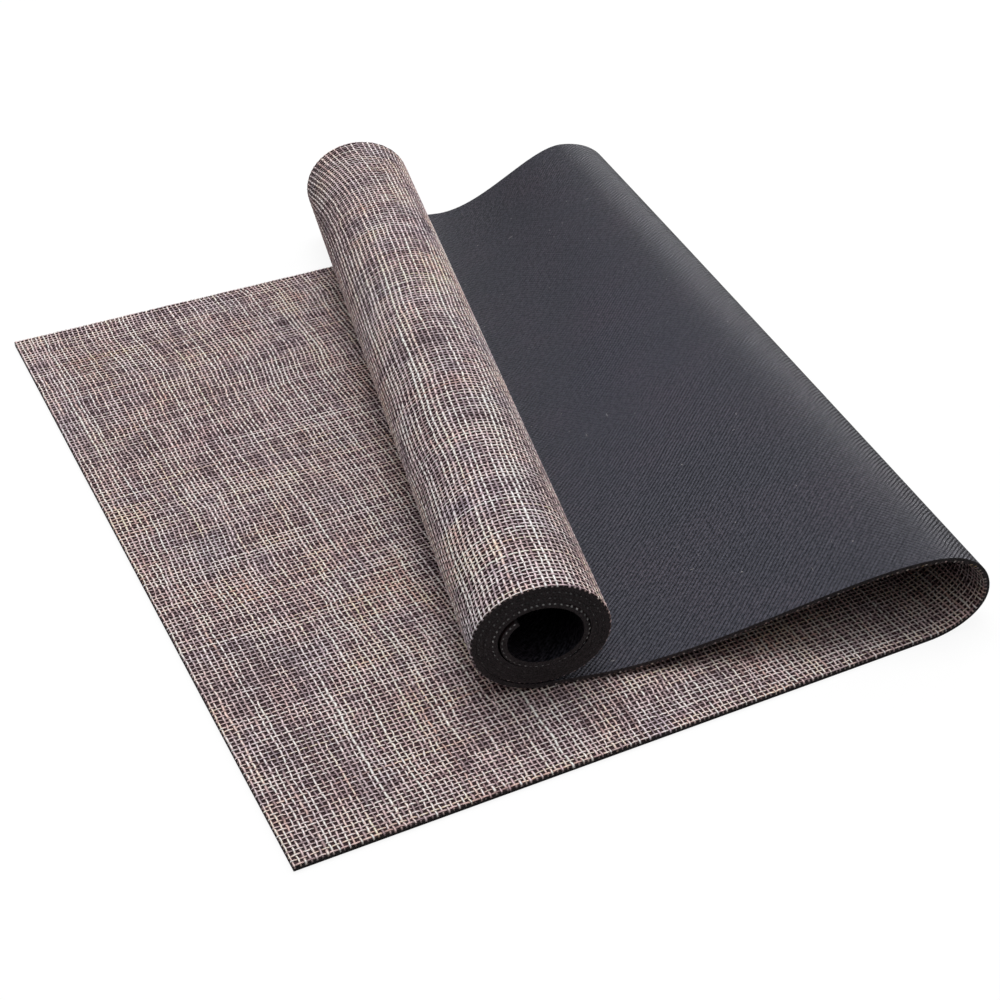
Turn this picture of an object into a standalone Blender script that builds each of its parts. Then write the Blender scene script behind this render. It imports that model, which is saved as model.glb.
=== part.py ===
"""Yoga mat, half unrolled: a floor panel, a U fold, and the rest of the sheet rolled up on top of it.

The mat is one laminated sheet of three layers: a foam-rubber base, a bonding coat and a woven face.
Every layer follows the same path. It lies flat, lifts into the fold, comes back down on the floor
panel with its rubber up, and curls up into a roll with the woven face outside.

Units are metres and +Z is up. The mat's width runs roughly along Y. The origin is at the middle of
the underside's bounding box, and +X points from the free end of the floor panel towards the fold.
"""

import math

import bmesh
import bpy
import numpy as np
from mathutils import Matrix, Vector

OBJECT_NAME = "yoga_mat"
HINGE_NAME = "fold_hinge"

# The sheet and its layers
MAT_LENGTH = 1.830
MAT_WIDTH = 0.680
BASE_THICKNESS = 0.0030
BOND_THICKNESS = 0.0002
FACE_THICKNESS = 0.0006
LAYER_GAP = 0.0003
PIECE_GAP = 0.0003
RESTING_GAP = 0.0004
SHEET_THICKNESS = BASE_THICKNESS + LAYER_GAP + BOND_THICKNESS + LAYER_GAP + FACE_THICKNESS

# The fold: where the crease would lie if the fold were pressed flat, and its slant across the mat
CREASE_DISTANCE = 0.5473
FOLD_SKEW = math.radians(6.2)

# The fold's side view at the front edge: its height, how far it bulges past the line where the sheet
# leaves the floor, how far its crest lies past that line, and how far before it the sheet lands
FRONT_HEIGHT = 0.0623
FRONT_BULGE = 0.0490
FRONT_CREST = 0.0075
FRONT_DESCENT = 0.2601

# The same four sizes at the back edge
BACK_HEIGHT = 0.0690
BACK_BULGE = 0.0574
BACK_CREST = 0.0106
BACK_DESCENT = 0.1305

# Height of the outermost point, and the lengths of the curve handles along the side view
OUTERMOST_HEIGHT_SHARE = 0.48
LIFT_HANDLE_SHARE = 0.60
OUTERMOST_HANDLE_SHARE = 0.545
CREST_HANDLE_SHARE = 0.61
CREST_BACK_HANDLE_SHARE = 0.26
LANDING_HANDLE_SHARE = 0.38

# The flat strips on both sides of the fold, and the least flat landing before the roll
FLAT_MARGIN = 0.0050
LANDING_LENGTH = 0.0337

# The roll: radius of the hole through it, how much wider than high it lies, the air between two
# wraps, and the loose inner end that springs away from the wrap outside it
BORE_RADIUS = 0.0205
OVAL_SPREAD = 0.0053
WRAP_GAP = 0.0005
LOOSE_END_TURNS = 0.36
LOOSE_END_DROP = 0.0024
WRAP_PITCH = SHEET_THICKNESS + WRAP_GAP

# How finely each stretch is divided
LIFT_STEPS = 14
CREST_STEPS = 14
LANDING_STEPS = 22
ACROSS_STEPS = 6
FACETS_PER_TURN = 28
SAMPLES_PER_STEP = 12
SETTLING_ROUNDS = 6

# Colours, as base colour, roughness
BASE_LOOK = ((0.045, 0.043, 0.050, 1.0), 0.75)
BOND_LOOK = ((0.018, 0.016, 0.018, 1.0), 0.60)
FACE_LOOK = ((0.560, 0.450, 0.420, 1.0), 0.90)

# The middle of each layer, counted from the outer face of the rubber, and the layer's thickness
LAYERS = {
    "base": (BASE_THICKNESS / 2, BASE_THICKNESS, BASE_LOOK),
    "bond": (BASE_THICKNESS + LAYER_GAP + BOND_THICKNESS / 2, BOND_THICKNESS, BOND_LOOK),
    "face": (SHEET_THICKNESS - FACE_THICKNESS / 2, FACE_THICKNESS, FACE_LOOK),
}

# Across the fold, along the fold, and the two directions of the sheet where it lies folded back
ACROSS_FOLD = Vector((math.cos(FOLD_SKEW), -math.sin(FOLD_SKEW), 0))
ALONG_FOLD = Vector((math.sin(FOLD_SKEW), math.cos(FOLD_SKEW), 0))
UP = Vector((0, 0, 1))
BACK_ALONG_SHEET = ALONG_FOLD * math.sin(FOLD_SKEW) - ACROSS_FOLD * math.cos(FOLD_SKEW)
BACK_ACROSS_SHEET = ACROSS_FOLD * math.sin(FOLD_SKEW) + ALONG_FOLD * math.cos(FOLD_SKEW)

# Height of the upturned rubber where the sheet lies on the floor panel
LANDED_HEIGHT = 2 * SHEET_THICKNESS + RESTING_GAP


def between(front, back, share):
    return front + (back - front) * share


def bezier(points, shares):
    """Points of a cubic curve, one row for each share of its way."""
    start, first, second, end = (np.array(point) for point in points)
    way = np.array(shares)[:, None]
    rest = 1 - way
    return start * rest**3 + 3 * first * rest**2 * way + 3 * second * rest * way**2 + end * way**3


def side_view_curves(share):
    """The three cubic curves of the fold's side view, at this share of the width from the front edge."""
    height = between(FRONT_HEIGHT, BACK_HEIGHT, share)
    bulge = between(FRONT_BULGE, BACK_BULGE, share)
    crest = between(FRONT_CREST, BACK_CREST, share)
    landing = -between(FRONT_DESCENT, BACK_DESCENT, share)
    middle = height * OUTERMOST_HEIGHT_SHARE
    lift_handle = bulge * LIFT_HANDLE_SHARE
    lower_handle = middle * OUTERMOST_HANDLE_SHARE
    upper_handle = (height - middle) * OUTERMOST_HANDLE_SHARE
    crest_handle = (bulge - crest) * CREST_HANDLE_SHARE
    crest_back_handle = (crest - landing) * CREST_BACK_HANDLE_SHARE
    landing_handle = (crest - landing) * LANDING_HANDLE_SHARE
    lifting = ((0, 0), (lift_handle, 0), (bulge, middle - lower_handle), (bulge, middle))
    cresting = ((bulge, middle), (bulge, middle + upper_handle), (crest + crest_handle, height), (crest, height))
    descending = (
        (crest, height),
        (crest - crest_back_handle, height),
        (landing + landing_handle, LANDED_HEIGHT),
        (landing, LANDED_HEIGHT),
    )
    return ((lifting, LIFT_STEPS), (cresting, CREST_STEPS), (descending, LANDING_STEPS))


def side_view(share):
    """(position, height, length along the sheet) at each step of the fold's side view.

    Position and length are counted from the line where the sheet leaves the floor.
    """
    runs = []
    for points, steps in side_view_curves(share):
        runs.append(bezier(points, np.linspace(0, 1, steps * SAMPLES_PER_STEP + 1))[1:])
    path = np.concatenate([np.zeros((1, 2)), *runs])
    length = np.concatenate([[0], np.cumsum(np.linalg.norm(np.diff(path, axis=0), axis=1))])
    steps = slice(None, None, SAMPLES_PER_STEP)
    return path[steps, 0], path[steps, 1], length[steps]


def lift_line(share):
    """Distance across the fold, from the mat's front corner, to where the sheet leaves the floor."""
    position, _, length = side_view(share)
    return CREASE_DISTANCE - (length[-1] + position[-1]) / 2


def landing_line(share):
    """Length of sheet, measured across the fold, from the front corner to where it lands again."""
    return lift_line(share) + side_view(share)[2][-1]


def along_fold(across, width):
    """Distance along the fold of the sheet's point at this distance across the fold and width."""
    return across * math.tan(FOLD_SKEW) + width / math.cos(FOLD_SKEW)


def settled(distance_at, width):
    """(distance across the fold, share of the width) where a line of the fold meets this width."""
    share = width / MAT_WIDTH
    for _ in range(SETTLING_ROUNDS):
        across = distance_at(share)
        share = along_fold(across, width) / MAT_WIDTH
    return across, share


def sheet_length_at(across, width):
    """Length along the sheet of the point at this distance across the fold and this width."""
    return (across + width * math.sin(FOLD_SKEW)) / math.cos(FOLD_SKEW)


def edge_to_edge(front, back):
    """A straight line over the sheet, as the length along the sheet at each width."""
    return lambda width: between(front, back, width / MAT_WIDTH)


def fold_start():
    """The line where the floor panel ends and the fold begins, a little before the sheet lifts."""
    front, back = (settled(lift_line, width)[0] - FLAT_MARGIN for width in (0, MAT_WIDTH))
    return edge_to_edge(sheet_length_at(front, 0), sheet_length_at(back, MAT_WIDTH))


def fold_end():
    """The line where the fold ends and the rolled part begins, a little after the sheet lands."""
    front, back = (settled(landing_line, width)[0] + FLAT_MARGIN for width in (0, MAT_WIDTH))
    return edge_to_edge(sheet_length_at(front, 0), sheet_length_at(back, MAT_WIDTH))


def roll_start():
    """Length along the sheet where it begins to curl, square across the sheet."""
    ends = []
    for width in (0, MAT_WIDTH):
        landed = settled(landing_line, width)[0] + LANDING_LENGTH
        ends.append(sheet_length_at(landed, width))
    return max(ends)


def flat_point(length, width, depth):
    return Vector((length, width, depth))


def landed_point(length, width, depth):
    """A point of the sheet where it lies folded back, depth below its upturned rubber."""
    place = ACROSS_FOLD * (2 * CREASE_DISTANCE) + BACK_ALONG_SHEET * length + BACK_ACROSS_SHEET * width
    return place + UP * (LANDED_HEIGHT - depth)


def fold_rows(width, depth):
    """Points of the fold at this width, from lift to landing, this depth inside the rubber's face."""
    points = []
    for index in range(LIFT_STEPS + CREST_STEPS + LANDING_STEPS + 1):
        across, share = settled(lambda at: lift_line(at) + side_view(at)[2][index], width)
        position, height, _ = side_view(share)
        before, after = max(index - 1, 0), min(index + 1, len(position) - 1)
        run, rise = position[after] - position[before], height[after] - height[before]
        if index in (0, len(position) - 1):
            rise = 0
        steep = math.hypot(run, rise)
        at = lift_line(share) + position[index] - depth * rise / steep
        up = height[index] + depth * run / steep
        points.append(ACROSS_FOLD * at + ALONG_FOLD * along_fold(across, width) + UP * up)
    return points


def roll_turns():
    """Turns that wind the rest of the sheet down to the bore."""
    rest = MAT_LENGTH - roll_start()
    growth = WRAP_PITCH / 2
    inner = 2 * math.pi * (BORE_RADIUS + OVAL_SPREAD / 2)
    return (-inner + math.sqrt(inner**2 + 4 * math.pi * 2 * growth * rest)) / (2 * math.pi * WRAP_PITCH)


def roll_radius(turn, turns):
    """Radius of the rubber's face at this turn, counted from the outside."""
    loose = max(0, turn - (turns - LOOSE_END_TURNS)) / LOOSE_END_TURNS
    ease = loose * loose * (3 - 2 * loose)
    return BORE_RADIUS + WRAP_PITCH * (turns - turn) - LOOSE_END_DROP * ease


def first_turn(turns):
    """The small turn back at which the winding is level, so that it leaves the flat without a kink."""
    return -WRAP_PITCH / (2 * math.pi) / (2 * math.pi * (roll_radius(0, turns) + OVAL_SPREAD))


def roll_stops(turns):
    """The turns at which the winding has a facet edge, the same in each wrap."""
    count = int(turns * FACETS_PER_TURN)
    stops = [index / FACETS_PER_TURN for index in range(1, count + 1)]
    if turns - stops[-1] < 1 / FACETS_PER_TURN / 2:
        stops.pop()
    return [first_turn(turns), *stops, turns]


def roll_point(turn, turns, width, depth):
    """A point of the winding, depth outside the rubber's face, which looks at the bore."""
    radius = roll_radius(turn, turns)
    angle = 2 * math.pi * turn
    along = (radius + depth + OVAL_SPREAD) * math.sin(angle)
    centre = LANDED_HEIGHT + roll_radius(first_turn(turns), turns)
    height = centre - (radius + depth) * math.cos(angle)
    place = ACROSS_FOLD * (2 * CREASE_DISTANCE) + BACK_ALONG_SHEET * (roll_start() + along)
    return place + BACK_ACROSS_SHEET * width + UP * height


def floor_panel_lines(depth):
    """The floor panel's lines across the sheet, each a list of points from front to back."""
    edge = fold_start()
    widths = (0, MAT_WIDTH)
    free_end = [flat_point(0, width, depth) for width in widths]
    fold_side = [flat_point(edge(width) - PIECE_GAP / 2, width, depth) for width in widths]
    return [free_end, fold_side]


def fold_lines(depth):
    start, end = fold_start(), fold_end()
    widths = [MAT_WIDTH * index / ACROSS_STEPS for index in range(ACROSS_STEPS + 1)]
    columns = []
    for width in widths:
        first = flat_point(start(width) + PIECE_GAP / 2, width, depth)
        last = landed_point(end(width) - PIECE_GAP / 2, width, depth)
        columns.append([first, *fold_rows(width, depth), last])
    return [list(line) for line in zip(*columns)]


def roll_lines(depth):
    start, turns = fold_end(), roll_turns()
    widths = (0, MAT_WIDTH)
    lines = [[landed_point(start(width) + PIECE_GAP / 2, width, depth) for width in widths]]
    for turn in roll_stops(turns):
        lines.append([roll_point(turn, turns, width, depth) for width in widths])
    return lines


ZONES = {"floor_panel": floor_panel_lines, "fold": fold_lines, "roll": roll_lines}


def clear_scene():
    for obj in list(bpy.data.objects):
        bpy.data.objects.remove(obj, do_unlink=True)


def make_collection():
    collection = bpy.data.collections.new(OBJECT_NAME)
    bpy.context.scene.collection.children.link(collection)
    return collection


def make_material(name, look):
    colour, roughness = look
    material = bpy.data.materials.new(name)
    material.use_nodes = True
    shader = material.node_tree.nodes["Principled BSDF"]
    shader.inputs["Base Color"].default_value = colour
    shader.inputs["Roughness"].default_value = roughness
    shader.inputs["Metallic"].default_value = 0
    material.diffuse_color = colour
    return material


def make_empty(name, collection, parent=None):
    empty = bpy.data.objects.new(name, None)
    empty.parent = parent
    collection.objects.link(empty)
    return empty


def bent_grid(name, lines):
    """A grid whose rows are laid along these lines, as one open surface with its rubber side first."""
    rows, columns = len(lines), len(lines[0])
    mesh = bpy.data.meshes.new(name)
    grid = bmesh.new()
    bmesh.ops.create_grid(grid, x_segments=rows - 1, y_segments=columns - 1, size=1)
    for vert in grid.verts:
        row = round((vert.co.x + 1) / 2 * (rows - 1))
        column = round((vert.co.y + 1) / 2 * (columns - 1))
        vert.co = lines[row][column]
    grid.to_mesh(mesh)
    grid.free()
    return mesh


def make_layer(name, lines, thickness, material, collection, parent, parent_place):
    """One layer of one stretch of the sheet, thickened to both sides of its middle surface."""
    mesh = bent_grid(name, lines)
    mesh.transform(parent_place.inverted())
    mesh.materials.append(material)
    obj = bpy.data.objects.new(name, mesh)
    obj.parent = parent
    collection.objects.link(obj)
    wall = obj.modifiers.new("thickness", "SOLIDIFY")
    wall.thickness = thickness
    wall.offset = 0
    wall.use_even_offset = True
    mesh.shade_smooth()
    mesh.set_sharp_from_angle(angle=math.radians(40))
    return obj


def hinge_place():
    """The crease line's place: half-way up between the two landed faces, turned along the fold."""
    middle = along_fold(CREASE_DISTANCE, MAT_WIDTH / 2)
    point = ACROSS_FOLD * CREASE_DISTANCE + ALONG_FOLD * middle + UP * (LANDED_HEIGHT / 2)
    return Matrix.Translation(point) @ Matrix.Rotation(-FOLD_SKEW, 4, "Z")


def build_sheet(collection, frame, hinge):
    """Every layer of every stretch. The roll turns with the hinge, and the rest stays on the floor."""
    pieces = []
    for layer, (middle, thickness, look) in LAYERS.items():
        material = make_material(layer, look)
        for zone, lines_at in ZONES.items():
            parent = hinge if zone == "roll" else frame
            place = hinge_place() if zone == "roll" else Matrix()
            name = layer + "_" + zone
            pieces.append(
                make_layer(name, lines_at(middle), thickness, material, collection, parent, place)
            )
    return pieces


def centre_on_origin(frame, pieces):
    """Moves the frame so that the whole mat stands on the origin, in the middle of its outline."""
    bpy.context.view_layer.update()
    graph = bpy.context.evaluated_depsgraph_get()
    corners = []
    for piece in pieces:
        evaluated = piece.evaluated_get(graph)
        corners += [evaluated.matrix_world @ Vector(corner) for corner in evaluated.bound_box]
    low = Vector(min(corner[axis] for corner in corners) for axis in range(3))
    high = Vector(max(corner[axis] for corner in corners) for axis in range(3))
    middle = (low + high) / 2
    frame.location = (-middle.x, -middle.y, -low.z)


def distance_to_line(point, start, end):
    along = end - start
    share = max(0, min(1, (point - start).dot(along) / along.length_squared))
    return (point - start - along * share).length


def least_wrap_gap():
    """Smallest distance between a wrap's woven face and the rubber of the wrap outside it."""
    turns = roll_turns()
    stops = roll_stops(turns)
    inner = [roll_point(turn, turns, 0, 0) for turn in stops]
    outer = [roll_point(turn, turns, 0, SHEET_THICKNESS) for turn in stops]
    least = MAT_LENGTH
    for index, point in enumerate(outer):
        for other in range(len(inner) - 1):
            if stops[index] - stops[other] > 1 / 2:
                least = min(least, distance_to_line(point, inner[other], inner[other + 1]))
    return least


def report(hinge, pieces):
    bpy.context.view_layer.update()
    place = hinge.matrix_world
    millimetres = 1 / 0.001
    print("least gap between wraps, mm:", round(least_wrap_gap() * millimetres, 3))
    print("turns in the roll:", round(roll_turns(), 3))
    print("roll starts at, m along the sheet:", round(roll_start(), 4))
    print("hinge at, m:", [round(value, 5) for value in place.translation])
    print("hinge axis:", [round(value, 6) for value in place.col[1][:3]])
    print("mat corner at, m:", [round(value, 5) for value in pieces[0].parent.matrix_world.translation])


def main():
    clear_scene()
    collection = make_collection()
    frame = make_empty(OBJECT_NAME + "_frame", collection)
    hinge = make_empty(HINGE_NAME, collection, frame)
    hinge.matrix_local = hinge_place()
    pieces = build_sheet(collection, frame, hinge)
    centre_on_origin(frame, pieces)
    report(hinge, pieces)


main()
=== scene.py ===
"""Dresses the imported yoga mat: foam rubber, bonding coat and woven face, yarn by yarn.

Lengths are in metres, in the row frame. A point of the mat is named by its length along the
sheet, its width across it and its depth from the rubber's outer face towards the woven face.
"""

import math

import bpy
import numpy as np
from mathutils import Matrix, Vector


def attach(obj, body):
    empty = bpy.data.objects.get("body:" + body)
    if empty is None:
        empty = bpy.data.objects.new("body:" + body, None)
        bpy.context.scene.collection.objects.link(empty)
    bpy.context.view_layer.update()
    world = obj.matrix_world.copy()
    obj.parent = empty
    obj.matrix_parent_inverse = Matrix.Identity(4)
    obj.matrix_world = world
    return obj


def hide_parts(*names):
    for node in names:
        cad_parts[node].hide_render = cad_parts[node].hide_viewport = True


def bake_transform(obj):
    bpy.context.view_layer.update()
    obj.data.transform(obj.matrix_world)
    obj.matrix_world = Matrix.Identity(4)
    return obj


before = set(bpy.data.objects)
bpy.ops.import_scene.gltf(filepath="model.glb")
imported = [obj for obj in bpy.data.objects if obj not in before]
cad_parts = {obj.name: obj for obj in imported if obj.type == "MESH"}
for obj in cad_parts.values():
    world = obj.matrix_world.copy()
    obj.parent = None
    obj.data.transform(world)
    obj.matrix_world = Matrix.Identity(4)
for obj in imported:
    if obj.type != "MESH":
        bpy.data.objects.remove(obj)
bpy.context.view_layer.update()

# The sheet's sizes and its lay, as in the CAD source
MAT_LENGTH = 1.830
MAT_WIDTH = 0.680
SHEET_THICKNESS = 0.0044
RESTING_GAP = 0.0004
LANDED_HEIGHT = 2 * SHEET_THICKNESS + RESTING_GAP
MAT_CORNER = np.array((-0.29972, -0.37876, 0.0))
CREASE_DISTANCE = 0.5473
FOLD_SKEW = math.radians(6.2)
FLAT_MARGIN = 0.0050
LANDING_LENGTH = 0.0337

# The fold's side view at the two side edges: its height, and how far its bulge, its crest and its
# landing lie past the line where the sheet leaves the floor
FRONT_PROFILE = np.array((0.0623, 0.0490, 0.0075, -0.2601))
BACK_PROFILE = np.array((0.0690, 0.0574, 0.0106, -0.1305))

# The height of its outermost point as a share of its own, and how far the handles of its curves
# reach, as shares of what each curve spans
OUTERMOST_HEIGHT_SHARE = 0.48
LIFT_HANDLE_SHARE = 0.6
OUTERMOST_HANDLE_SHARE = 0.545
CREST_HANDLE_SHARE = 0.61
CREST_BACK_HANDLE_SHARE = 0.26
LANDING_HANDLE_SHARE = 0.38

# The roll, from its bore outwards
BORE_RADIUS = 0.0205
OVAL_SPREAD = 0.0053
WRAP_GAP = 0.0005
WRAP_PITCH = SHEET_THICKNESS + WRAP_GAP
LOOSE_END_TURNS = 0.36
LOOSE_END_DROP = 0.0024

# How finely the fold's side view is taken over the width and along itself, and then the spiral and
# the width, and how often a slanted line is settled
VIEW_SPAN, VIEW_COUNT, VIEW_POINTS = (-0.3, 1.5), 37, 400
SPIRAL_POINTS, WIDTH_POINTS, SETTLING_ROUNDS = 6000, 201, 6

# The depths of the layers, and how much the coat fills out between the wraps
FOAM_DEPTHS = (0.0, 0.0010, 0.0020, 0.0030)
COAT_BOTTOM, COAT_TOP, COAT_FILLING = 0.0030, 0.0036, 0.0011
FACE_DEPTH = 0.00404

# How finely the foam and the coat are divided, half the gap between two stretches, and the angle
# from which an edge of theirs is shown sharp
COLUMNS = {"floor": 18, "fold": 35, "roll": 18}
FLOOR_ROWS, FOLD_ROWS, LANDING_ROWS, ROWS_PER_TURN = 41, 150, 8, 84
BUTT_GAP = 0.00001
SHARP_ANGLE = math.radians(50)

# The yarns: how many, how far they wave over and under, and how thick they are
CROSS_COUNT, LONG_COUNT = 488, 179
CROSS_WAVE, LONG_WAVE = 0.00026, 0.00018
CROSS_HALF_WIDTH, LONG_HALF_WIDTH = 0.00089, 0.00078
CROSS_HALF_HEIGHT, LONG_HALF_HEIGHT = 0.00032, 0.00028
EDGE_INSET, LEAST_INSET, END_INSET = 0.0012, 0.0008, 0.0003
END_DROOP, FLOOR_DROOP = 0.0009, 0.0007
OVERHANG, INNER_OVERHANG = (0.0001, 0.0006), (0.0002, 0.0008)
HIDDEN_END = 0.002

# How far the yarns stray from an even grid, and over how many crossings each way
CROSS_SWAY, CROSS_SWAY_ON_FLOOR, SWAY_GROWTH, SWAY_STEPS = 0.0012, 0.0028, 1.5, (26, 19)
SIDE_SWAY_SHARE, SIDE_SWAY_STEPS = 0.3, (60, 9)
RIPPLE, RIPPLE_ON_FLOOR, RIPPLE_STEPS = 0.00014, 0.00031, (6, 6)
CROSS_WAVER, CROSS_WAVER_STEP, CROSS_SHAKE = 0.00030, 4, 0.00021
LONG_SWAY, LONG_SWAY_STEPS = 0.0006, (24, 40)
LONG_WAVER, LONG_WAVER_STEP, LONG_SHAKE = 0.00024, 6, 0.00019
SHAKE_ON_ROLL = 0.65
SKEW_REACH, SKEW_START, SKEW_WIDTH = 0.024, 0.55, 0.13

# Where the weave and its painted light and shade change, measured from an end or a side of the
# sheet: where each change starts, and how far it runs
NEAR_END, NEAR_SIDE = (0.0, 0.05), (0.0, 0.04)
FLOOR_ENDS, PAINTED_FLOOR_SHADE_BEGINS = (0.42, 0.25), (0.2, 0.3)
FRONT_PATCHES_END, PAINTED_FRONT_LIGHT_ENDS, PAINTED_BACK_SHADE_BEGINS = (0.15, 0.2), (0.08, 0.25), (0.45, 0.15)

# The same, measured from the place where the roll starts
ROLL_BEGINS, SKEW_BEGINS, SKEW_ENDS = (0.0, 0.05), (0.01, 0.06), (0.09, 0.10)
PAINTED_LEFT_SHADE_ENDS, PAINTED_LIGHT_ENDS, PAINTED_RIGHT_SHADE_BEGINS = (0.10, 0.03), (0.135, 0.03), (0.165, 0.02)

# How much lighter or darker the cloth is there, as painted light and painted shade
PAINTED_ROLL_LIGHT, PAINTED_FRONT_LIGHT, PAINTED_LIGHT_LOSS = 0.05, 0.13, 2.2
PAINTED_LEFT_SHADE, PAINTED_BACK_SHADE, PAINTED_RIGHT_SHADE, PAINTED_FLOOR_SHADE = 0.07, 0.07, 0.08, 0.10
PAINTED_LIGHT_COLOUR = np.array((1.0, 1.04, 1.08))

# Patches of lighter and darker cloth, and of warmer, redder and bluer cloth: over how many
# crossings each way they change, and how strong they are
LARGE_PATCH_STEPS, SMALL_PATCH_STEPS, LARGE_PATCHES, SMALL_PATCHES = (14, 14), (4, 4), 0.46, 0.34
PATCHES_ON_ROLL, PATCHES_IN_FRONT = 0.5, 0.15
WARM_STEPS, RED_STEPS, BLUE_STEPS = (7, 6), (7, 9), (8, 7)
WARMTH, WARMTH_OF_PATCHES = 0.8, 2.0

# Turns of the roll, counted from its foot: where the coat starts to fill the gap to the next wrap,
# and where one gap near the inner end is left open
FILLING_BEGINS, OPEN_GAP_BEGINS, OPEN_GAP_ENDS = (1.05, 0.1), (3.55, 0.08), (3.84, 0.10)

# What the two sets of yarns are spun like: a dull, a plain and a bright tone on the screen's scale,
# how much the tone varies, how often a bright slub comes at a crossing, the half length below which
# slubs stay, and the share of yarns that have one thick slub
CROSS_SPIN = ((148, 127, 131), (221, 196, 198), (255, 229, 222)), 0.34, 0.0045, 24, 0.11
LONG_SPIN = ((136, 115, 119), (215, 190, 192), (255, 229, 221)), 0.32, 0.0110, 12, 0.16
SHORTEST_SLUB, THICK_SLUB = 3, (8, 22)
SLUB_LIGHT, SLUB_REACH, SLUB_FADE, THICK_FADE = (0.4, 1.0), 1.15, 0.3, 0.4

# What a yarn's tone, its warmth and its thickness are mixed from: a part for the whole yarn, slow
# and quick changes along it, a part for each crossing, the cloth's patches, and its slubs
YARN_TONE, SLOW_TONE, QUICK_TONE, CROSSING_TONE, PATCH_TONE = 0.5, 0.65, 0.4, 0.45, 0.5
YARN_AMBER, SLOW_AMBER, PATCH_AMBER, TONE_AMBER = 0.20, 0.16, 0.06, 0.10
YARN_SWELL, SLOW_SWELL, SLUB_THINNING, THICK_SWELL = 0.07, 0.11, 0.04, 0.24
SLOW_TONE_STEP, QUICK_TONE_STEP, AMBER_STEP, SWELL_STEP = 7, 2, 6, 4

# How the colour of a yarn shifts where it is warmer, in red, green and blue
WARM_SHIFT = np.array((0.09, -0.09, -0.28))
SLOW_SHIFT = np.array((0.020, -0.006, -0.020))
HUE_SHIFT = np.array((0.012, 0.0, 0.014))
DARKEST_TINT, LIGHTEST_TINT, LIGHTEST_CREST, WARMEST = 0.02, 0.95, 0.98, 0.9

# Painted light and shade on a yarn: lighter where it rides over another, darker where it dives
# under and between the two, and then round it: darker on its flanks and belly, lighter on its crest
CROSS_SHADES, LONG_SHADES = (1.07, 0.46, 0.82), (1.10, 0.40, 0.74)
FLANK, CREST, BELLY = 0.52, 1.48, 0.42
# Painted shade on the yarns that lie inside the roll
HIDDEN_SHADE, HIDDEN_LONG_SHADE = 0.35, 0.2

# Counted in turns from the roll's foot: where the full weave ends, so that only a few yarns at each
# side edge go on, where the cross yarns start to carry painted shade, and where their ends get longer
FULL_WEAVE_TURNS, SHADED_TURNS, LONGER_ENDS_TURNS = 1.12, 1.1, 1.0
EDGE_YARNS = 3

# The light of the cut ends: on the outer edges, inside the roll, and what its innermost turns add
END_SHADE, CAP_DOT, INNER_CAP_DOT, INNERMOST = (0.5, 1.0), (0.03, 0.15), (0.08, 0.42), (3.0, 0.3)

# The few threads that have come loose along the fold's front edge
LOOSE_STRETCH, LOOSE_SHARE = 0.3, 0.05
LOOSE_DRIFT, LOOSE_REACH, LOOSE_DROP = 0.0008, (0.0006, 0.0016), 0.0004
LOOSE_COLOUR = (214, 184, 140)

# The print on the rubber: the pitch of its ribs both ways, how much they wander, how strong the two
# sets of ribs are, and how the shade and the relief follow them, the foam's cells and its grain
RIB_LENGTH, RIB_WIDTH, RIB_WANDER = 0.00375, 0.00380, 0.9
STEEP_RIBS, SHALLOW_RIBS = 0.7, 0.2
RIB_SPAN, RIB_SHADE, CELL_SHADE, GRAIN_SHADE = (-0.85, 0.85), (0.31, 0.69), (-0.2, 0.2), (-2.1, 2.1)
PRINT_HEIGHT, GRAIN_HEIGHT = 0.9, 0.75

# Lint on the rubber, as specks and as hairs both ways: how many cells to the metre each way, which
# share of the cells stays empty, and how large lint grows in the others
LINT = (
    ((75.0, 75.0, 1.0), 0.84, 0.28),
    ((90.0, 14.0, 1.0), 0.80, 0.16),
    ((13.0, 80.0, 1.0), 0.80, 0.15),
)

# The studio: lamps by name, place, size and power, and the camera that stands where the photo's did
LAMPS = (
    ("key", (0.1, 0.45, 2.2), 1.5, 27),
    ("fill", (1.6, 0.0, 1.5), 1.6, 5),
    ("rim", (2.05, 1.45, 0.75), 1.0, 13),
)
SKY_WAY, SKY_SPAN, SKY_LIGHT = (0.12, 0.33, 0.936), (0.12, 0.9), (0.01, 0.95)
FLOOR_SIZE, FLOOR_GAP, FLOOR_BOUNCE, FLOOR_GLOW = 30, 0.0004, 0.18, 0.89
CAMERA_PLACE = (-0.52152, -1.11157, 0.85347)
CAMERA_DOWN, CAMERA_TURN = math.radians(36.9015), math.radians(-26.399)
CAMERA_LENS, CAMERA_SENSOR, CAMERA_CLIPS = 65.18, 36.0, (0.05, 60.0)

ZONES = ("floor", "fold", "roll")
UP = np.array((0.0, 0.0, 1.0))
WHITE, REDDISH = (1.0, 1.0, 1.0, 1.0), (1.14, 0.97, 1.0, 1.0)
ACROSS_FOLD = np.array((math.cos(FOLD_SKEW), -math.sin(FOLD_SKEW), 0.0))
ALONG_FOLD = np.array((math.sin(FOLD_SKEW), math.cos(FOLD_SKEW), 0.0))
BACK_ALONG_SHEET = ALONG_FOLD * math.sin(FOLD_SKEW) - ACROSS_FOLD * math.cos(FOLD_SKEW)
BACK_ACROSS_SHEET = ACROSS_FOLD * math.sin(FOLD_SKEW) + ALONG_FOLD * math.cos(FOLD_SKEW)
rng = np.random.default_rng(41)


def ease(t):
    t = np.clip(t, 0, 1)
    return t * t * (3 - 2 * t)


def rises(value, start, run):
    """0 up to the start, 1 past the run, and a smooth rise between them."""
    return ease((value - start) / run)


def falls(value, start, run):
    return 1 - rises(value, start, run)


# Where a point of the sheet lies


def bezier(points, t):
    a, b, c, d = (np.array(p) for p in points)
    t = t[:, None]
    return a * (1 - t) ** 3 + 3 * b * (1 - t) ** 2 * t + 3 * c * (1 - t) * t**2 + d * t**3


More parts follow.
